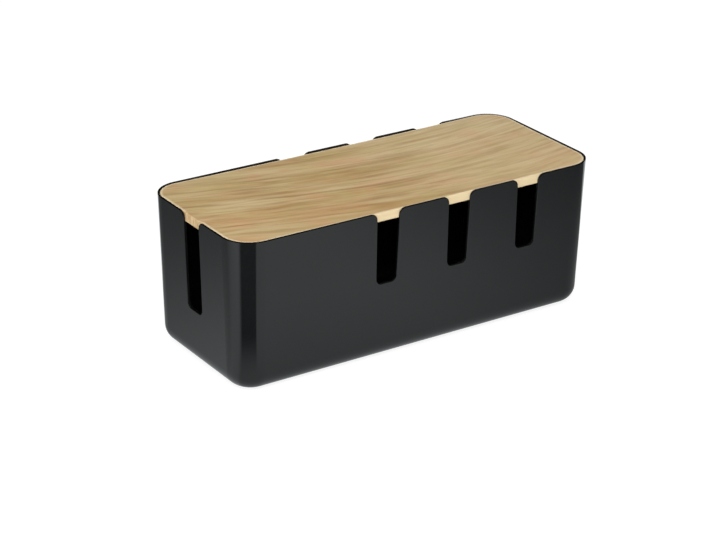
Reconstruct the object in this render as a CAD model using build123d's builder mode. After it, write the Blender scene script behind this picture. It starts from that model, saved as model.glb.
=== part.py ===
import os
from math import cos, radians, tan

from build123d import *

# Desk box that hides a power strip: one moulded body, a loose wooden lid, four rubber feet.
# X runs along the box, the front wall faces -Y, Z is up and zero is the table under the feet.

# body
rim_length = 303.5
rim_width = 125.0
body_height = 113.0
wall = 2.3
draft_angle = 1.72
rim_corner_radius = 21.8
bottom_edge_radius = 12.6
rim_thickness = 1.2
rim_edge_radius = 0.5

# cable slots in the front and back walls, open at the rim
slot_count = 3
slot_pitch = 60.0
last_slot_setback = 63.5
slot_top_width = 18.4
slot_bottom_width = 16.5
slot_depth = 54.2

# slot for the mains lead in the left end wall, open at the rim
lead_slot_top_width = 20.4
lead_slot_bottom_width = 19.8
lead_slot_depth = 71.0

slot_corner_radius = 4.5
slot_lip_radius = 5.0

# wooden lid, dropped into a seat inside the rim
lid_thickness = 7.0
lid_recess = 0.3
lid_clearance = 0.25
lid_top_edge_radius = 0.8
lid_bottom_edge_radius = 0.5

# moulded ribs that carry the lid with the ledge of its seat
rib_thickness = 2.0
rib_reach = 4.5
rib_corner_gap = 9.0
end_rib_spacing = 56.0

# rubber feet, seated in shallow pockets
foot_radius = 6.0
foot_thickness = 2.0
foot_stand_out = 1.4
foot_pocket_clearance = 0.3
foot_edge_radius = 0.4
foot_inset = 15.0

# heights above the table
underside_height = foot_stand_out
floor_height = underside_height + wall
rim_height = underside_height + body_height
lid_top_height = rim_height - lid_recess
lid_underside_height = lid_top_height - lid_thickness

# the walls lean inwards below the rim
lean_per_mm = tan(radians(draft_angle))
body_lean = body_height * lean_per_mm
lid_lean = (rim_height - lid_underside_height) * lean_per_mm

# the hollow, measured at the rim
level_wall = wall / cos(radians(draft_angle))
hollow_length = rim_length - 2 * level_wall
hollow_width = rim_width - 2 * level_wall
hollow_corner_radius = rim_corner_radius - level_wall

# the seat thins the wall to the rim's thickness, from the rim down to the lid's underside
level_rim = rim_thickness / cos(radians(draft_angle))
seat_length = rim_length - 2 * level_rim
seat_width = rim_width - 2 * level_rim
seat_corner_radius = rim_corner_radius - level_rim

# slots are counted from the right end; the left of the long walls stays bare
slot_row_centre = rim_length / 2 - last_slot_setback - slot_pitch * (slot_count - 1) / 2

# ribs stand where the long walls run into their corners, and midway along the bare stretch
corner_rib_x = rim_length / 2 - rim_corner_radius - rib_corner_gap
bare_rib_x = slot_row_centre - slot_pitch * slot_count / 2

# the lid follows the seat at its own underside
lid_gap = lid_lean + lid_clearance
lid_length = seat_length - 2 * lid_gap
lid_width = seat_width - 2 * lid_gap
lid_corner_radius = seat_corner_radius - lid_gap

# feet stand near the corners of the flat underside
underside_length = rim_length - 2 * (body_lean + bottom_edge_radius)
underside_width = rim_width - 2 * (body_lean + bottom_edge_radius)
foot_x = underside_length / 2 - foot_inset
foot_y = underside_width / 2 - foot_inset
foot_places = {
    "foot_front_left": (-foot_x, -foot_y),
    "foot_front_right": (foot_x, -foot_y),
    "foot_back_left": (-foot_x, foot_y),
    "foot_back_right": (foot_x, foot_y),
}


def drafted_block(length, width, corner_radius, base_height, bottom_radius):
    """A block up to the rim that narrows downwards and has a rounded bottom edge."""
    with BuildPart() as block:
        with BuildSketch(Plane.XY.offset(base_height)):
            RectangleRounded(length, width, corner_radius)
        extrude(amount=rim_height - base_height)
        sides = block.faces().filter_by(Axis.Z, reverse=True)
        draft(sides, neutral_plane=Plane.XY.offset(rim_height), angle=-draft_angle)
        fillet(block.faces().sort_by(Axis.Z)[0].edges(), radius=bottom_radius)
    return block.part


def slot_outline(top_width, bottom_width, depth):
    """A tapered slot hung from its origin, which flares into the rim in two arcs."""
    half_top = top_width / 2
    half_bottom = bottom_width / 2
    half_mouth = half_top + 2 * slot_lip_radius
    with BuildSketch() as outline:
        with BuildLine():
            Polyline(
                (-half_bottom, -depth),
                (half_bottom, -depth),
                (half_top, 0),
                (half_mouth, 0),
                (half_mouth, slot_lip_radius),
                (-half_mouth, slot_lip_radius),
                (-half_mouth, 0),
                (-half_top, 0),
                close=True,
            )
        make_face()
        lips = outline.vertices().group_by(Axis.Y)[1].sort_by(Axis.X)[1:-1]
        fillet(lips, radius=slot_lip_radius)
        bottom_corners = outline.vertices().group_by(Axis.Y)[0]
        fillet(bottom_corners, radius=slot_corner_radius)
    return outline.sketch


os.makedirs("parts", exist_ok=True)

outer_block = drafted_block(
    rim_length, rim_width, rim_corner_radius, underside_height, bottom_edge_radius
)
hollow_block = drafted_block(
    hollow_length, hollow_width, hollow_corner_radius, floor_height, bottom_edge_radius - wall
)
cable_slot = slot_outline(slot_top_width, slot_bottom_width, slot_depth)
lead_slot = slot_outline(lead_slot_top_width, lead_slot_bottom_width, lead_slot_depth)

# planes that face out of the front wall and out of the left end wall, with their origins on the rim
front_plane = Plane(origin=(slot_row_centre, 0, rim_height), x_dir=(1, 0, 0), z_dir=(0, -1, 0))
left_plane = Plane(origin=(0, 0, rim_height), x_dir=(0, -1, 0), z_dir=(-1, 0, 0))

# each rib is drawn through the wall and trimmed by the hollow, so it meets the drafted wall all the way
with BuildPart() as lid_ribs:
    with BuildSketch(Plane.XY.offset(lid_underside_height)):
        for side in (-1, 1):
            long_wall_y = side * (hollow_width / 2 - lid_lean)
            with Locations((slot_row_centre, long_wall_y)):
                with GridLocations(slot_pitch, 0, slot_count - 1, 1):
                    Rectangle(rib_thickness, 2 * rib_reach)
            with Locations((0, long_wall_y)):
                with Locations((-corner_rib_x, 0), (bare_rib_x, 0), (corner_rib_x, 0)):
                    Rectangle(rib_thickness, 2 * rib_reach)
            with Locations((side * (hollow_length / 2 - lid_lean), 0)):
                with GridLocations(0, end_rib_spacing, 1, 2):
                    Rectangle(2 * rib_reach, rib_thickness)
    extrude(amount=floor_height - lid_underside_height)
    add(hollow_block, mode=Mode.INTERSECT)

with BuildPart() as lid_seat:
    with BuildSketch(Plane.XY.offset(rim_height)):
        RectangleRounded(seat_length, seat_width, seat_corner_radius)
    extrude(amount=lid_underside_height - rim_height, taper=draft_angle)

with BuildPart() as slot_cutters:
    with BuildSketch(front_plane):
        with GridLocations(slot_pitch, 0, slot_count, 1):
            add(cable_slot)
    extrude(amount=rim_width, both=True)
    with BuildSketch(left_plane):
        add(lead_slot)
    extrude(amount=rim_length)

with BuildPart() as box_body:
    add(outer_block)
    add(hollow_block, mode=Mode.SUBTRACT)
    add(lid_ribs.part)
    add(slot_cutters.part, mode=Mode.SUBTRACT)
    slot_edges = box_body.edges(Select.LAST)
    rim_edges = box_body.edges().group_by(Axis.Z)[-1]
    seams_across_wall = box_body.edges().filter_by(lambda edge: edge.length < 2 * wall)
    fillet((slot_edges + rim_edges) - seams_across_wall, radius=rim_edge_radius)
    add(lid_seat.part, mode=Mode.SUBTRACT)
    with BuildSketch(Plane.XY.offset(underside_height)):
        with Locations(*foot_places.values()):
            Circle(foot_radius + foot_pocket_clearance)
    extrude(amount=foot_thickness - foot_stand_out, mode=Mode.SUBTRACT)
box_body.part.label = "box_body"
export_step(box_body.part, "parts/box_body.step")

with BuildPart() as lid:
    with BuildSketch(Plane.XY.offset(lid_underside_height)):
        RectangleRounded(lid_length, lid_width, lid_corner_radius)
    extrude(amount=lid_thickness)
    fillet(lid.edges().group_by(Axis.Z)[-1], radius=lid_top_edge_radius)
    fillet(lid.edges().group_by(Axis.Z)[0], radius=lid_bottom_edge_radius)
lid.part.label = "lid"
export_step(lid.part, "parts/lid.step")

for foot_name, foot_place in foot_places.items():
    with BuildPart() as foot:
        with BuildSketch():
            with Locations(foot_place):
                Circle(foot_radius)
        extrude(amount=foot_thickness)
        fillet(foot.edges().group_by(Axis.Z)[0], radius=foot_edge_radius)
    foot.part.label = foot_name
    export_step(foot.part, f"parts/{foot_name}.step")
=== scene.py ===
import math

import bmesh
import bpy
from mathutils import Matrix, Vector, noise


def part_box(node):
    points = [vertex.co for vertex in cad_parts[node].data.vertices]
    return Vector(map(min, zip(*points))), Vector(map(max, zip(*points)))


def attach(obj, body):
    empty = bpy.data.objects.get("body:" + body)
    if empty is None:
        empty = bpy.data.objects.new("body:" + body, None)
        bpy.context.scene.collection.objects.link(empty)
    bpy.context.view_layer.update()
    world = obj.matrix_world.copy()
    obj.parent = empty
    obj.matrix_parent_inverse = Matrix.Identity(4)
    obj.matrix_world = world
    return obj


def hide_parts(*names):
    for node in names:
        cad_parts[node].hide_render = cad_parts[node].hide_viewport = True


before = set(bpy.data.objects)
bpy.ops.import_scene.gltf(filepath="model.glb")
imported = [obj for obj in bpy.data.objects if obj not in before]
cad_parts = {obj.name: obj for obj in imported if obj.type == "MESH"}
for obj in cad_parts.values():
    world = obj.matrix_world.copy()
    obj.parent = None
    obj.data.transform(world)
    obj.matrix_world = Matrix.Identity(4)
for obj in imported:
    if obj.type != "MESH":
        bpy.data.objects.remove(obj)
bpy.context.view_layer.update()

mm = 0.001
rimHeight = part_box("box_body")[1].z
lidLow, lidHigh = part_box("lid")
print("frame loaded:", ", ".join(sorted(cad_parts)))


# camera

view = {
    "aim": (-14.07, 0.92, 42.24),  # mm
    "distance": 1608.1,  # mm
    "turn": -33.926,  # degrees, 0 looks straight at the front wall
    "rise": 24.002,
    "roll": 0.785,
    "lens": 112.12,  # mm, and so is the sensor
    "sensor": 36.0,
    "clip": (0.01, 50.0),  # metres
}


def outwards(turn, rise):  # the way from the box to a camera or a lamp, turn and rise in degrees
    turn = math.radians(turn)
    rise = math.radians(rise)
    return Vector((math.sin(turn) * math.cos(rise), -math.cos(turn) * math.cos(rise), math.sin(rise)))


def makeCamera():
    roll = math.radians(view["roll"])
    back = outwards(view["turn"], view["rise"])
    right = (-back).cross(Vector((0, 0, 1))).normalized()
    up = right.cross(-back)
    tiltedRight = right * math.cos(roll) + up * math.sin(roll)
    tiltedUp = up * math.cos(roll) - right * math.sin(roll)
    data = bpy.data.cameras.new("camera")
    data.lens = view["lens"]
    data.sensor_width = view["sensor"]
    data.clip_start, data.clip_end = view["clip"]
    camera = bpy.data.objects.new("camera", data)
    place = (Vector(view["aim"]) + back * view["distance"]) * mm
    facing = Matrix((tiltedRight, tiltedUp, back)).transposed().to_4x4()
    camera.matrix_world = Matrix.Translation(place) @ facing
    bpy.context.scene.collection.objects.link(camera)
    bpy.context.scene.camera = camera


makeCamera()
print("camera set")


# shader expressions: a Strand is one socket of a node tree, and sums on it add the nodes

class Strand:
    def __init__(self, tree, socket=None):
        self.tree = tree
        self.socket = socket

    def node(self, kind, settings=None, inputs=None, output=0):
        made = self.tree.nodes.new("ShaderNode" + kind)
        for name, value in (settings or {}).items():
            setattr(made, name, value)
        for name, value in (inputs or {}).items():
            if isinstance(value, Strand):
                self.tree.links.new(value.socket, made.inputs[name])
            else:
                made.inputs[name].default_value = value
        return Strand(self.tree, made.outputs[output])

    def math(self, operation, first, second=0.0):
        return self.node("Math", {"operation": operation}, {0: first, 1: second})

    def __add__(self, other):
        return self.math("ADD", self, other)

    def __radd__(self, other):
        return self.math("ADD", other, self)

    def __sub__(self, other):
        return self.math("SUBTRACT", self, other)

    def __rsub__(self, other):
        return self.math("SUBTRACT", other, self)

    def __mul__(self, other):
        return self.math("MULTIPLY", self, other)

    def __rmul__(self, other):
        return self.math("MULTIPLY", other, self)

    def __truediv__(self, other):
        return self.math("DIVIDE", self, other)

    def __rtruediv__(self, other):
        return self.math("DIVIDE", other, self)

    def __pow__(self, other):
        return self.math("POWER", self, other)

    def size(self):
        return self.math("ABSOLUTE", self)

    def above(self, low):
        return self.math("MAXIMUM", self, low)

    def below(self, high):
        return self.math("MINIMUM", self, high)

    def ease(self, start, end):  # 0 at start, 1 at end, smooth between
        settings = {"interpolation_type": "SMOOTHSTEP"}
        return self.node("MapRange", settings, {"Value": self, "From Min": start, "From Max": end})

    def window(self, start, full, ebb, end):  # rises to 1 from start to full, falls to 0 from ebb to end
        return self.ease(start, full) * (1 - self.ease(ebb, end))

    def parts(self):  # x, y and z of a vector
        return [self.node("SeparateXYZ", None, {0: self}, axis) for axis in range(3)]

    def join(self, x, y, z):  # a vector from three values
        return self.node("CombineXYZ", None, {0: x, 1: y, 2: z})

    def stretch(self, x, y, z):  # a vector with each axis scaled
        return self.node("VectorMath", {"operation": "MULTIPLY"}, {0: self, 1: (x, y, z)})

    def shift(self, other):
        return self.node("VectorMath", {"operation": "ADD"}, {0: self, 1: other})

    def scaled(self, amount):
        return self.node("VectorMath", {"operation": "SCALE"}, {0: self, "Scale": amount})

    def dot(self, other):
        return self.node("VectorMath", {"operation": "DOT_PRODUCT"}, {0: self, 1: other}, 1)

    # noise at this vector: scale counts its patches to a metre, in all or along x, y and z,
    # shows holds the two values that it is eased between, and output 1 is a colour
    def pattern(self, scale, detail, roughness=0.5, shows=None, offset=None, output=0):
        place = self.shift(offset) if offset else self
        place = place.stretch(*scale) if isinstance(scale, tuple) else place.scaled(scale)
        inputs = {"Vector": place, "Scale": 1.0, "Detail": detail, "Roughness": roughness}
        patches = self.node("TexNoise", None, inputs, output)
        return patches.ease(*shows) if shows else patches

    def tint(self, amount, colour):  # this colour, with amount of another over it
        return self.node("Mix", {"data_type": "RGBA"}, {0: amount, 6: self, 7: colour}, 2)

    def between(self, low, high):  # a colour from low to high as this value goes from 0 to 1
        return self.node("Mix", {"data_type": "RGBA"}, {0: self, 6: low, 7: high}, 2)

    def bump(self, height, distance, strength=1.0):  # this normal, dented by a height in distance metres
        inputs = {"Height": height, "Distance": distance, "Strength": strength, "Normal": self}
        return self.node("Bump", None, inputs)


white = (1.0, 1.0, 1.0, 1.0)
black = (0.0, 0.0, 0.0, 1.0)


def linear(red, green, blue):  # a screen colour of 0 to 255 as light, by the sRGB curve
    def channel(value):
        value /= 255
        return value / 12.92 if value <= 0.04045 else ((value + 0.055) / 1.055) ** 2.4
    return (channel(red), channel(green), channel(blue), 1.0)


def startMaterial(name):
    material = bpy.data.materials.new(name)
    material.use_nodes = True
    material.node_tree.nodes.clear()
    return material, Strand(material.node_tree)


def endMaterial(graph, surface):
    output = graph.tree.nodes.new("ShaderNodeOutputMaterial")
    graph.tree.links.new(surface.socket, output.inputs["Surface"])


def bodyPoint(graph):  # where a point of the piece is, in metres, carried along when the piece moves
    return graph.node("TexCoord", None, None, 3)


def surfaceNormal(graph):
    return graph.node("NewGeometry", None, None, 1)


# floor, backdrop and light

studio = {
    "floorReach": 6.0,  # metres
    "floorGrey": 0.8,
    "glow": 0.86,  # what the floor gives the eye by itself, so that only its shadows show
    "shadowShare": 0.26,
    "mirrorGlow": 0.68,  # the same for what a gloss surface sees of the floor
    "mirrorShadowShare": 0.36,
    # painted light and shade on the floor, seen only in gloss: a cool pool of light painted by place
    "mirrorCool": (0.93, 0.985, 1.0, 1.0),
    "poolPeak": 0.82,
    "poolRight": 0.22,  # metres past the middle at which the painted pool of light has halved
    "poolRightFade": 2.0,  # how steeply it falls off
    "poolBack": 0.287,  # the same towards the back, counted from poolBackStart
    "poolBackStart": -0.17,
    "poolBackFade": 1.5,
    "dusk": (-0.02, 0.24),  # painted shade: further back the pool dims once more
    "duskDepth": 0.27,
    "paintedShadeFanCorner": (-0.130, -0.041),  # painted shade: the floor is darker in a fan that opens from the near corner
    "paintedShadeFanSides": (5.0, 11.0, 58.0, 70.0),  # degrees
    "paintedShadeFanNear": (0.040, 0.105),
    "paintedShadeFanDepth": 0.80,
    "glowSides": (62.0, 76.0, 96.0, 120.0),  # degrees, painted light: a brighter fan beside the dark one
    "glowGain": 0.42,
    "behindSlant": 0.29,  # painted light: behind the box the floor is bright again, from a slanted line on
    "behindEdge": (0.085, 0.130),
    "behindLeft": (-0.17, -0.09),
    "curtainSides": 96,
    "curtainRadius": 2.6,
    "curtainHeight": 2.0,
    "curtainCloth": (0.01, 0.01, 0.01, 1.0),
    "stripSides": (36.9, 38.0, 39.5, 40.5),  # degrees, a pale strip in the curtain behind the right end
    "stripHeights": (0.80, 0.90, 1.08, 1.18),  # metres, so that the rim sees it and the lid hardly does
    "stripGlow": 3.2,
    "worldWhite": 1.0,  # what the eye sees past the floor
    "mirrorSky": 0.2,  # what a gloss surface sees there
    "worldFill": 0.42,  # what lights the box from all round
}


def stagePiece(name, points, faces, material):
    data = bpy.data.meshes.new(name)
    data.from_pydata(points, [], faces)
    data.materials.append(material)
    piece = bpy.data.objects.new(name, data)
    bpy.context.scene.collection.objects.link(piece)
    return piece


def makeFloor():
    reach = studio["floorReach"]
    corners = [(-reach, -reach, 0), (reach, -reach, 0), (reach, reach, 0), (-reach, reach, 0)]
    floor = stagePiece("floor", corners, [(0, 1, 2, 3)], floorPaper())


def mirroredFloor(graph):  # how bright a gloss wall finds each spot of the floor
    # painted light and shade: this brightness is painted on the floor by place, not cast by the lamps
    x, y = graph.node("NewGeometry", None, None, 0).parts()[:2]
    backward = (y - studio["poolBackStart"]).above(0.0)
    fallRight = 1 / (1 + (x.above(0.0) / studio["poolRight"]) ** studio["poolRightFade"])
    fallBack = 1 / (1 + (backward / studio["poolBack"]) ** studio["poolBackFade"])
    dusk = y.ease(*studio["dusk"]) * studio["duskDepth"]
    pool = fallRight * fallBack * (1 - dusk) * studio["poolPeak"]
    fromX = x - studio["paintedShadeFanCorner"][0]
    fromY = y - studio["paintedShadeFanCorner"][1]
    angle = graph.math("ARCTAN2", 0 - fromX, 0 - fromY) * math.degrees(1)
    reach = (fromX ** 2.0 + fromY ** 2.0) ** 0.5
    # painted shade: a darker fan on the floor, opening from the near corner
    paintedShadeFan = angle.window(*studio["paintedShadeFanSides"]) * reach.ease(*studio["paintedShadeFanNear"])
    # painted light: a brighter fan on the floor beside the dark one
    glow = angle.window(*studio["glowSides"]) * studio["glowGain"]
    near = pool * (1 - paintedShadeFan * studio["paintedShadeFanDepth"]) * (1 + glow)
    # painted light: the floor is painted bright behind the box
    behind = (x * studio["behindSlant"] + y).ease(*studio["behindEdge"]) * x.ease(*studio["behindLeft"])
    return near + (1 - near) * behind


def floorPaper():
    material, graph = startMaterial("floorPaper")
    seen, inGloss = seenRays(graph)
    mirrored = mirroredFloor(graph).between(black, studio["mirrorCool"])
    toEye = glowAndShade(graph, None, studio["glow"], studio["shadowShare"])
    toGloss = glowAndShade(graph, mirrored, studio["mirrorGlow"], studio["mirrorShadowShare"])
    shown = graph.node("MixShader", None, {0: inGloss, 1: toEye, 2: toGloss})
    grey = studio["floorGrey"]
    plain = graph.node("BsdfDiffuse", None, {"Color": (grey, grey, grey, 1.0)})
    endMaterial(graph, graph.node("MixShader", None, {0: seen, 1: plain, 2: shown}))
    return material


def seenRays(graph):  # 1 where the eye or a gloss or clear surface looks, and 1 where it is a gloss surface
    names = ("Is Camera Ray", "Is Glossy Ray", "Is Transmission Ray")
    rays = [graph.node("LightPath", None, None, name) for name in names]
    return (rays[0] + rays[1] + rays[2]).below(1.0), rays[1]


def glowAndShade(graph, colour, glow, share):
    glowing = white if colour is None else colour
    shaded = (share, share, share, 1.0) if colour is None else colour.tint(1 - share, black)
    light = graph.node("Emission", None, {"Color": glowing, "Strength": glow})
    shade = graph.node("BsdfDiffuse", None, {"Color": shaded})
    return graph.node("AddShader", None, {0: light, 1: shade})


def curtainCloth():
    material, graph = startMaterial("curtainCloth")
    x, y, z = bodyPoint(graph).parts()
    angle = graph.math("ARCTAN2", x, y) * math.degrees(1)
    strip = angle.window(*studio["stripSides"]) * z.window(*studio["stripHeights"])
    cloth = graph.node("BsdfDiffuse", None, {"Color": studio["curtainCloth"]})
    light = graph.node("Emission", None, {"Color": white, "Strength": studio["stripGlow"]})
    endMaterial(graph, graph.node("MixShader", None, {0: strip, 1: cloth, 2: light}))
    return material


def makeCurtain():  # dark cloth round the set, which only gloss surfaces see
    count = studio["curtainSides"]
    radius = studio["curtainRadius"]
    height = studio["curtainHeight"]
    angles = [index * math.tau / count for index in range(count)]
    ring = [(radius * math.cos(angle), radius * math.sin(angle)) for angle in angles]
    points = [(x, y, 0.0) for x, y in ring] + [(x, y, height) for x, y in ring]
    faces = [(i, (i + 1) % count, count + (i + 1) % count, count + i) for i in range(count)]
    curtain = stagePiece("curtain", points, faces, curtainCloth())
    curtain.visible_camera = False
    curtain.visible_diffuse = False
    curtain.visible_shadow = False
    curtain.visible_transmission = False


def makeWorld():
    world = bpy.data.worlds.new("studio")
    world.use_nodes = True
    world.node_tree.nodes.clear()
    graph = Strand(world.node_tree)
    seen, inGloss = seenRays(graph)
    fill = graph.node("Background", None, {"Color": white, "Strength": studio["worldFill"]})
    backdrop = graph.node("Background", None, {"Color": white, "Strength": studio["worldWhite"]})
    sky = graph.node("Background", None, {"Color": white, "Strength": studio["mirrorSky"]})
    shown = graph.node("MixShader", None, {0: inGloss, 1: backdrop, 2: sky})
    mixed = graph.node("MixShader", None, {0: seen, 1: fill, 2: shown})
    output = world.node_tree.nodes.new("ShaderNodeOutputWorld")
    world.node_tree.links.new(mixed.socket, output.inputs["Surface"])
    bpy.context.scene.world = world


lampAim = Vector((0.0, 0.0, 0.06))  # metres, near the middle of the box
lamps = {  # turn and rise in degrees, distance and sides in metres, share of full white that it gives
    "frontSoftbox": {"turn": -38, "rise": 34, "distance": 1.5, "width": 0.9, "height": 0.7, "share": 0.85},
    "topSoftbox": {"turn": 20, "rise": 78, "distance": 1.5, "width": 0.8, "height": 0.8, "share": 0.12},
}


def makeLamps():
    for name, lamp in lamps.items():
        away = outwards(lamp["turn"], lamp["rise"])
        data = bpy.data.lights.new(name, "AREA")
        data.shape = "RECTANGLE"
        data.size = lamp["width"]
        data.size_y = lamp["height"]
        # as many watts as light a white cloth, held face on, to that share
        data.energy = lamp["share"] * (math.pi * lamp["distance"]) ** 2
        light = bpy.data.objects.new(name, data)
        light.location = lampAim + away * lamp["distance"]
        light.rotation_euler = away.to_track_quat("Z", "Y").to_euler()
        light.visible_glossy = False  # the gloss walls show the floor and the curtain, not the lamps
        bpy.context.scene.collection.objects.link(light)


makeFloor()
makeCurtain()
makeWorld()
makeLamps()
bpy.context.scene.view_settings.view_transform = "Standard"
print("studio lit")


# body: gloss black moulding outside, fine spark texture inside and underneath

plastic = {
    "black": linear(8, 9, 10),
    "blackOther": linear(11, 11, 12),
    "dusty": linear(58, 57, 55),
    "innerWall": (-0.012, 0.0),  # metres, negative where a face looks towards the middle of the box
    "floorFaces": (0.5, 0.8),  # how squarely a face looks up before it counts as the inner floor
    "floorTop": (0.008, 0.020),  # metres above the table
    "underFaces": (0.93, 0.985),
    "dustFaces": (0.6, 0.95),  # how squarely a face looks up before dust lies on it
    "rimWear": (1.2, 0.2),  # mm below the rim
    "smearTone": (0.35, 0.75),  # between these the smears show in the black, at the rim and in the gloss
    "smearRim": (0.4, 0.7),
    "smearGloss": (0.55, 0.85),
    "dust": {"specks": 0.03, "settled": 0.3, "inside": 0.05, "rim": 0.03},  # how much dust dulls the black
    "rough": {
        "plain": 0.018,
        "smear": 0.02,
        "specks": 0.15,
        "hairs": 0.03,
        "rim": 0.05,
        "settled": 0.05,
        "inside": 0.34,
        "spark": 0.1,
    },
    "dents": {"slow": 0.00010, "peel": 0.0000015, "spark": 0.000012},  # metres
    "grain": {
        "slow": {"scale": 9.0, "detail": 1.0},  # the slow waviness of a moulded wall
        "peel": {"scale": 900.0, "detail": 2.0},
        "spark": {"scale": 1500.0, "detail": 3.0, "roughness": 0.6},
        "smear": {"scale": (24.0, 24.0, 53.0), "detail": 4.0, "roughness": 0.62},
        "hairs": {"scale": (1500.0, 1500.0, 75.0), "detail": 1.0, "shows": (0.68, 0.76)},
        "specks": {"scale": 620.0, "detail": 2.0, "roughness": 0.7, "shows": (0.72, 0.78)},
    },
}


def bodyPlastic():
    material, graph = startMaterial("glossBlackPlastic")
    point = bodyPoint(graph)
    height = point.parts()[2]
    facing = surfaceNormal(graph)
    upward = facing.parts()[2]
    outward = point.stretch(1.0, 1.0, 0.0).dot(facing)
    innerWall = 1 - outward.ease(*plastic["innerWall"])
    innerFloor = upward.ease(*plastic["floorFaces"]) * (1 - height.ease(*plastic["floorTop"]))
    underneath = (0 - upward).ease(*plastic["underFaces"])
    inside = (innerWall + innerFloor + underneath).below(1.0)
    wearStart, wearEnd = plastic["rimWear"]
    rimWear = height.ease(rimHeight - wearStart * mm, rimHeight - wearEnd * mm)
    settled = upward.ease(*plastic["dustFaces"]) * (1 - rimWear)

    grain = {name: point.pattern(**look) for name, look in plastic["grain"].items()}
    smear = grain["smear"]
    specks = grain["specks"]
    dust = plastic["dust"]
    tone = smear.ease(*plastic["smearTone"]).between(plastic["black"], plastic["blackOther"])
    tone = tone.tint(specks * (dust["specks"] + settled * dust["settled"]), plastic["dusty"])
    tone = tone.tint(inside * dust["inside"], plastic["dusty"])
    tone = tone.tint(rimWear * smear.ease(*plastic["smearRim"]) * dust["rim"], plastic["dusty"])
    rough = plastic["rough"]
    roughness = rough["plain"] + smear.ease(*plastic["smearGloss"]) * rough["smear"]
    roughness = roughness + specks * rough["specks"] + grain["hairs"] * rough["hairs"]
    roughness = roughness + rimWear * rough["rim"] + settled * rough["settled"]
    roughness = roughness + inside * (rough["inside"] + grain["spark"] * rough["spark"])
    dents = plastic["dents"]
    normal = facing.bump(grain["slow"], dents["slow"])
    normal = normal.bump(grain["peel"], dents["peel"])
    normal = normal.bump(grain["spark"] * inside, dents["spark"])
    inputs = {"Base Color": tone, "Roughness": roughness, "Normal": normal, "IOR": 1.5}
    endMaterial(graph, graph.node("BsdfPrincipled", None, inputs))
    return material


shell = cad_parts["box_body"]
shell.data.materials.clear()
shell.data.materials.append(bodyPlastic())
print("body finished")


# helpers for the modelled pieces

def quarterTurn(steps):  # angles from 0 to a right angle
    return [step * math.pi / 2 / steps for step in range(steps + 1)]


def roundedLoop(halfLength, halfWidth, radius, steps):
    points = []
    cornerCount, longCount, shortCount = steps
    corners = [(1, 1), (-1, 1), (-1, -1), (1, -1)]
    for index, (sideX, sideY) in enumerate(corners):
        centre = Vector((sideX * (halfLength - radius), sideY * (halfWidth - radius)))
        startAngle = index * math.pi / 2
        for turn in quarterTurn(cornerCount):
            angle = startAngle + turn
            points.append(centre + Vector((math.cos(angle), math.sin(angle))) * radius)
        nextX, nextY = corners[(index + 1) % 4]
        nextCentre = Vector((nextX * (halfLength - radius), nextY * (halfWidth - radius)))
        endAngle = startAngle + math.pi / 2
        start = points[-1]
        end = nextCentre + Vector((math.cos(endAngle), math.sin(endAngle))) * radius
        count = longCount if sideY == nextY else shortCount
        points += [start.lerp(end, step / count) for step in range(1, count)]
    return points


def joinLoops(mesh, loops):  # faces from each loop to the next
    for lower, upper in zip(loops, loops[1:]):
        for index in range(len(lower)):
            after = (index + 1) % len(lower)
            mesh.faces.new((lower[index], lower[after], upper[after], upper[index]))


def finishedPiece(mesh, name):
    for face in mesh.faces:
        face.smooth = True
    data = bpy.data.meshes.new(name)
    mesh.to_mesh(data)
    mesh.free()
    piece = bpy.data.objects.new(name, data)
    bpy.context.scene.collection.objects.link(piece)
    return piece


# lid: one board of pale wood, eased along its edges, dipping a little towards its middle

board = {
    "topEdge": 0.8,  # mm
    "bottomEdge": 0.5,
    "cornerRadius": 20.1,
    "edgeSteps": 6,
    "sideRings": (0.33, 0.67),  # share of the upright side between the eased edges
    "flatStart": 0.25,  # first ring of the flat faces, beside the eased edge
    "spread": (0.02, 0.05, 0.1, 0.17, 0.26, 0.37, 0.5, 0.63, 0.76, 0.88, 0.96),  # rings on the flat faces
    "steps": (14, 80, 26),  # points round a corner, along a long side and along an end
    "dip": 0.45,  # mm in the middle of the length
    "backDip": 0.5,  # share of the dip that comes on top of it along the back
    "waviness": 0.05,
    "waveScale": 0.02,  # waves to a millimetre
    "lift": 0.28,  # the corner at the right end of the back stands up a little
    "liftFrom": (60.0, 0.0),
    "liftTo": (140.0, 50.0),
}
boardHalfLength = (lidHigh.x - lidLow.x) / 2 / mm
boardHalfWidth = (lidHigh.y - lidLow.y) / 2 / mm
boardThickness = (lidHigh.z - lidLow.z) / mm
boardSpine = boardHalfLength - boardHalfWidth  # half the middle line on which the rings close


def boardRings():
    # (inset from the side, share of the way to the middle line, height above the underside) of each ring,
    # from the middle of the underside round the side to the middle of the top
    top = board["topEdge"]
    bottom = board["bottomEdge"]
    rings = [(bottom + board["flatStart"], share, 0.0) for share in reversed(board["spread"])]
    rings.append((bottom + board["flatStart"], 0.0, 0.0))
    for angle in quarterTurn(board["edgeSteps"]):
        rings.append((bottom * (1 - math.sin(angle)), 0.0, bottom * (1 - math.cos(angle))))
    for share in board["sideRings"]:
        rings.append((0.0, 0.0, bottom + (boardThickness - top - bottom) * share))
    for angle in quarterTurn(board["edgeSteps"]):
        rings.append((top * (1 - math.cos(angle)), 0.0, boardThickness - top * (1 - math.sin(angle))))
    rings.append((top + board["flatStart"], 0.0, boardThickness))
    rings += [(top + board["flatStart"], share, boardThickness) for share in board["spread"]]
    return rings


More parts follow.
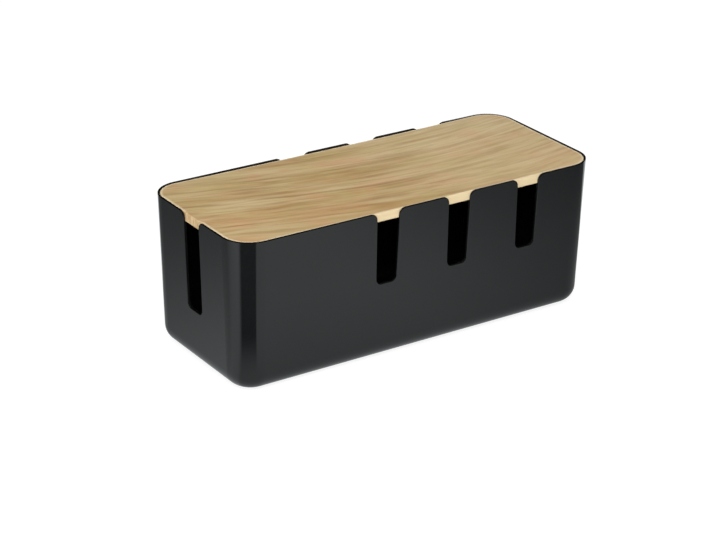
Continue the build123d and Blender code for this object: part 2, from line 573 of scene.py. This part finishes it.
def boardHeight(x, y, height):  # the top dips and lifts in full, the underside stays flat
    wave = board["waviness"] * (0.5 + 0.5 * noise.noise(Vector((x, y, height)) * board["waveScale"]))
    sag = board["dip"] * (1 - (x / boardHalfLength) ** 2)
    sag *= 1 + board["backDip"] * max(y, 0.0) / (lidHigh.y / mm)
    lift = board["lift"]
    for place, start, end in zip((x, y), board["liftFrom"], board["liftTo"]):
        share = min(max((place - start) / (end - start), 0.0), 1.0)
        lift *= share * share * (3 - 2 * share)
    return lidLow.z / mm + height + (height / boardThickness) * (lift - sag - wave)


def onSpine(x):
    return max(-boardSpine, min(boardSpine, x))


def makeBoard():
    mesh = bmesh.new()
    loops = []
    for inset, share, height in boardRings():
        radius = board["cornerRadius"] - inset
        loop = []
        for place in roundedLoop(boardHalfLength - inset, boardHalfWidth - inset, radius, board["steps"]):
            x, y = place.lerp(Vector((onSpine(place.x), 0.0)), share)
            loop.append(mesh.verts.new(Vector((x, y, boardHeight(x, y, height))) * mm))
        loops.append(loop)
    joinLoops(mesh, loops)
    closeMiddle(mesh, loops[0], 0.0, True)
    closeMiddle(mesh, loops[-1], boardThickness, False)
    return finishedPiece(mesh, "lid_board")


def closeMiddle(mesh, loop, height, facingDown):  # both sides of the last narrow loop meet on the spine
    line = {}
    meets = []
    for corner in loop:
        x = round(onSpine(corner.co.x / mm), 2)  # to a hundredth of a mm, so that both sides find one point
        if x not in line:
            line[x] = mesh.verts.new(Vector((x, 0.0, boardHeight(x, 0.0, height))) * mm)
        meets.append(line[x])
    for index in range(len(loop)):
        after = (index + 1) % len(loop)
        corners = list(dict.fromkeys((loop[index], loop[after], meets[after], meets[index])))
        mesh.faces.new(reversed(corners) if facingDown else corners)


wood = {
    "tan": linear(184, 150, 96),
    "pale": linear(214, 192, 149),
    "rose": linear(214, 162, 121),
    "straw": linear(197, 179, 123),
    "line": linear(150, 114, 68),
    "pore": linear(134, 100, 60),
    # painted highlight: the colour of the paler band along the eased edges of the top
    "edge": linear(243, 228, 196),
    # partly painted light: the upright sides are painted paler than the top
    "side": linear(226, 207, 168),
    "endGrain": linear(224, 198, 153),
    "endLine": linear(196, 160, 112),
    "lean": 0.10,  # how far the grain runs off the board's length, and how much it bends
    "bend": -0.83,
    "strays": (  # metres that the grain strays, in long waves and in ripples, and the noise that steers it
        (0.013, {"scale": (4.0, 11.0, 11.0), "detail": 2.0}),
        (0.003, {"scale": (13.0, 28.0, 28.0), "detail": 1.0}),
    ),
    "pith": (0.307, -0.21),  # metres from the board's middle to the heart of the log, across and down
    "ringWidth": 0.0062,
    "lateWood": (0.15, 0.9, 0.92, 1.0),  # shares of a ring between which its dark line rises and ends
    "paintedSheenAlong": (-0.04, 0.08),  # metres, where the painted sheen, paler wood with calmer grain, starts and is full
    "paintedSheenAcross": (-0.02, 0.05),
    "paintedSheenCalm": 0.35,
    "fibreShows": (0.45, 0.8),
    "flatFaces": (0.25, 0.95),  # how squarely a face looks up or down before it is no side
    "endFaces": (0.55, 0.9),  # how squarely it looks along the board before it is an end
    "border": (0.7, 2.6),  # mm from the side, between which the painted highlight, paler wood along the eased edge, fades out
    "plainAlong": (130.0, 140.0),  # mm from the middle, at the left end over the slot, where the painted highlight is left out
    "plainAcross": (9.0, 14.0),
    "grain": {
        "broken": {"scale": (11.0, 70.0, 70.0), "detail": 2.0, "roughness": 0.6, "shows": (0.38, 0.66)},
        "band": {"scale": (6.0, 46.0, 46.0), "detail": 3.0, "roughness": 0.6, "shows": (0.32, 0.68)},
        "blush": {"scale": (30.0, 46.0, 46.0), "detail": 3.0, "roughness": 0.6, "shows": (0.44, 0.70)},
        "honey": {
            "offset": (3.1, 1.7, 0.4),
            "scale": (32.0, 50.0, 50.0),
            "detail": 3.0,
            "roughness": 0.6,
            "shows": (0.44, 0.70),
        },
        "glow": {
            "offset": (1.3, 5.2, 2.6),
            "scale": (14.0, 170.0, 170.0),
            "detail": 2.0,
            "shows": (0.5, 0.74),
        },
        "streak": {"scale": (16.0, 210.0, 210.0), "detail": 2.0, "roughness": 0.6, "shows": (0.46, 0.72)},
        "feather": {"scale": (26.0, 560.0, 560.0), "detail": 2.0, "roughness": 0.62, "shows": (0.45, 0.75)},
        "fibre": {"scale": (38.0, 1600.0, 1600.0), "detail": 3.0, "roughness": 0.6},
        "pores": {"scale": (70.0, 2600.0, 2600.0), "detail": 1.0, "shows": (0.66, 0.74)},
    },
    "endStreak": {"scale": (1.0, 620.0, 110.0), "detail": 3.0, "roughness": 0.6, "shows": (0.4, 0.65)},
    "shares": {  # how strongly each lays its colour over the wood
        "band": 0.76,
        "paintedSheen": 0.72,
        "paintedSheenBack": 0.28,
        "blush": 0.55,
        "honey": 0.6,
        "glow": 0.4,
        "glowInPaintedSheen": 0.2,
        "ring": 0.15,
        "ringVaries": 0.45,
        "streak": 0.5,
        "feather": 0.42,
        "fibre": 0.14,
        "pores": 0.25,
        "border": 0.55,
        "side": 0.8,
        "end": 0.85,
    },
    "rough": {"plain": 0.5, "fibre": 0.12, "late": 0.05, "side": 0.1},
    "dents": {"fibre": (0.00002, 0.6), "pores": (0.00003, 0.5), "late": (0.00001, 0.6)},  # metres, strength
}


def boardSide(graph, x, y):  # distance in metres from the side of the board
    radius = board["cornerRadius"] * mm
    overX = x.size() - (lidHigh.x - radius)
    overY = y.size() - (lidHigh.y - radius)
    corner = (overX.above(0.0) ** 2.0 + overY.above(0.0) ** 2.0) ** 0.5
    flat = graph.math("MAXIMUM", overX, overY).below(0.0)
    return radius - corner - flat


# painted highlight: paler wood along the eased edge of the top, left out at the left end over the slot
def paintedEdgeHighlight(graph, point):
    x, y = point.parts()[:2]
    start, end = wood["border"]
    border = 1 - boardSide(graph, x, y).ease(start * mm, end * mm)
    start, end = wood["plainAlong"]
    plain = (0 - x).ease(start * mm, end * mm)
    start, end = wood["plainAcross"]
    plain = plain * (1 - y.size().ease(start * mm, end * mm))
    return border * (1 - plain)


def lidWood():
    material, graph = startMaterial("paleWood")
    point = bodyPoint(graph)
    strayed = point
    for reach, look in wood["strays"]:
        push = point.pattern(output=1, **look).shift((-0.5, -0.5, -0.5)).scaled(reach)
        strayed = strayed.shift(push)
    x, y, z = strayed.parts()
    y = y + x * wood["lean"] + x * x * wood["bend"]
    bent = point.join(x, y, z)

    across = y - wood["pith"][0]
    down = z - (lidLow.z + wood["pith"][1])
    rings = (across ** 2.0 + down ** 2.0) ** 0.5 / wood["ringWidth"]
    ringTone = graph.node("TexWhiteNoise", {"noise_dimensions": "1D"}, {"W": graph.math("FLOOR", rings)})
    late = graph.math("FRACT", rings).window(*wood["lateWood"])
    grain = {name: bent.pattern(**look) for name, look in wood["grain"].items()}

    shares = wood["shares"]
    # painted sheen: the wood is painted paler and calmer towards the right end and the back, for the
    # lacquer's sheen
    paintedSheen = x.ease(*wood["paintedSheenAlong"])
    lively = 1 - paintedSheen * wood["paintedSheenCalm"]
    tone = (grain["band"] * shares["band"]).between(wood["tan"], wood["pale"])
    tone = tone.tint(paintedSheen * (shares["paintedSheen"] + y.ease(*wood["paintedSheenAcross"]) * shares["paintedSheenBack"]), wood["pale"])
    tone = tone.tint(grain["blush"] * lively * shares["blush"], wood["rose"])
    tone = tone.tint(grain["honey"] * lively * shares["honey"], wood["straw"])
    tone = tone.tint(grain["glow"] * (shares["glow"] + paintedSheen * shares["glowInPaintedSheen"]), wood["pale"])
    ringShare = shares["ring"] + ringTone * shares["ringVaries"]
    tone = tone.tint(late * grain["broken"] * lively * ringShare, wood["line"])
    tone = tone.tint(grain["streak"] * lively * shares["streak"], wood["line"])
    tone = tone.tint(grain["feather"] * lively * shares["feather"], wood["line"])
    tone = tone.tint(grain["fibre"].ease(*wood["fibreShows"]) * shares["fibre"], wood["line"])
    tone = tone.tint(grain["pores"] * shares["pores"], wood["pore"])

    facing = surfaceNormal(graph)
    facingX, facingZ = facing.parts()[::2]
    side = 1 - facingZ.size().ease(*wood["flatFaces"])
    endSide = facingX.size().ease(*wood["endFaces"])
    # painted highlight: a paler band along the eased edge of the top, for the light it catches
    tone = tone.tint(paintedEdgeHighlight(graph, point) * (1 - side) * shares["border"], wood["edge"])
    # partly painted light: the upright sides are painted paler, as if lit more from the front, on top of what
    # the lamps give them
    tone = tone.tint(side * (1 - endSide) * shares["side"], wood["side"])
    endTone = point.pattern(**wood["endStreak"]).between(wood["endGrain"], wood["endLine"])
    tone = tone.tint(endSide * shares["end"], endTone)
    rough = wood["rough"]
    roughness = rough["plain"] + grain["fibre"] * rough["fibre"] - late * rough["late"] + side * rough["side"]
    dents = wood["dents"]
    normal = facing.bump(grain["fibre"], *dents["fibre"])
    normal = normal.bump(1 - grain["pores"], *dents["pores"])
    normal = normal.bump(late, *dents["late"])
    inputs = {"Base Color": tone, "Roughness": roughness, "Normal": normal, "IOR": 1.45}
    endMaterial(graph, graph.node("BsdfPrincipled", None, inputs))
    return material


lidBoard = makeBoard()
lidBoard.data.materials.append(lidWood())
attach(lidBoard, "lid")
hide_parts("lid")
print("lid made")


# feet: turned rubber pads, softened at the rim and a little dished underneath

pad = {
    "dish": 0.12,  # mm
    "dishShare": 0.8,  # of the radius
    "dishRings": (0.25, 0.5, 0.7, 0.85, 0.95, 1.0),  # shares of the dish, from its middle out
    "edge": 0.45,
    "edgeSteps": 6,
    "sideRing": 0.6,  # share of the height
    "topEdge": 0.2,
    "topEdgeSteps": 3,
    "topRings": (0.7, 0.4),  # shares of the radius
    "steps": 64,
    "rubber": linear(34, 34, 34),
    "rubberOther": linear(44, 44, 43),
    "dust": linear(96, 93, 88),
    "dustShows": (0.6, 0.8),
    "dustShare": 0.18,
    "patchesShow": (0.4, 0.75),
    "roughness": (0.72, 0.2),  # at the least, and what the patches add
    "dents": (0.00004, 0.7),  # metres, strength
    "fine": {"scale": 2600.0, "detail": 2.0},
    "patches": {"scale": 260.0, "detail": 3.0, "roughness": 0.6},
}


def padProfile(radius, height):
    # (distance from the middle, height above the table) of each ring,
    # from the middle of the underside to the middle of the top
    points = []
    for share in pad["dishRings"]:
        points.append((radius * (share * pad["dishShare"]), pad["dish"] * (1 - share) ** 0.5))
    edge = pad["edge"]
    for angle in quarterTurn(pad["edgeSteps"]):
        points.append((radius - edge + edge * math.sin(angle), edge - edge * math.cos(angle)))
    points.append((radius, height * pad["sideRing"]))
    edge = pad["topEdge"]
    for angle in quarterTurn(pad["topEdgeSteps"]):
        points.append((radius - edge + edge * math.cos(angle), height - edge + edge * math.sin(angle)))
    return points + [(radius * share, height) for share in pad["topRings"]]


def makePad(name):
    low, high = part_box(name)
    middle = (low + high) / 2
    radius = (high.x - low.x) / 2 / mm
    height = (high.z - low.z) / mm
    mesh = bmesh.new()
    loops = []
    for distance, level in padProfile(radius, height):
        loop = []
        for step in range(pad["steps"]):
            angle = step * math.tau / pad["steps"]
            place = Vector((distance * math.cos(angle), distance * math.sin(angle), level)) * mm
            loop.append(mesh.verts.new(Vector((middle.x, middle.y, low.z)) + place))
        loops.append(loop)
    joinLoops(mesh, loops)
    bottom = mesh.verts.new((middle.x, middle.y, low.z + pad["dish"] * mm))
    top = mesh.verts.new((middle.x, middle.y, high.z))
    for index in range(pad["steps"]):
        after = (index + 1) % pad["steps"]
        mesh.faces.new((bottom, loops[0][after], loops[0][index]))
        mesh.faces.new((top, loops[-1][index], loops[-1][after]))
    return finishedPiece(mesh, name + "_pad")


def padRubber():
    material, graph = startMaterial("footRubber")
    point = bodyPoint(graph)
    fine = point.pattern(**pad["fine"])
    patches = point.pattern(**pad["patches"])
    tone = patches.ease(*pad["patchesShow"]).between(pad["rubber"], pad["rubberOther"])
    tone = tone.tint(fine.ease(*pad["dustShows"]) * pad["dustShare"], pad["dust"])
    least, added = pad["roughness"]
    roughness = least + patches * added
    normal = surfaceNormal(graph).bump(fine, *pad["dents"])
    inputs = {"Base Color": tone, "Roughness": roughness, "Normal": normal, "IOR": 1.5}
    endMaterial(graph, graph.node("BsdfPrincipled", None, inputs))
    return material


rubber = padRubber()
for name in sorted(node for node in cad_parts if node.startswith("foot_")):
    foot = makePad(name)
    foot.data.materials.append(rubber)
    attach(foot, "box")
    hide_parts(name)
print("feet made")
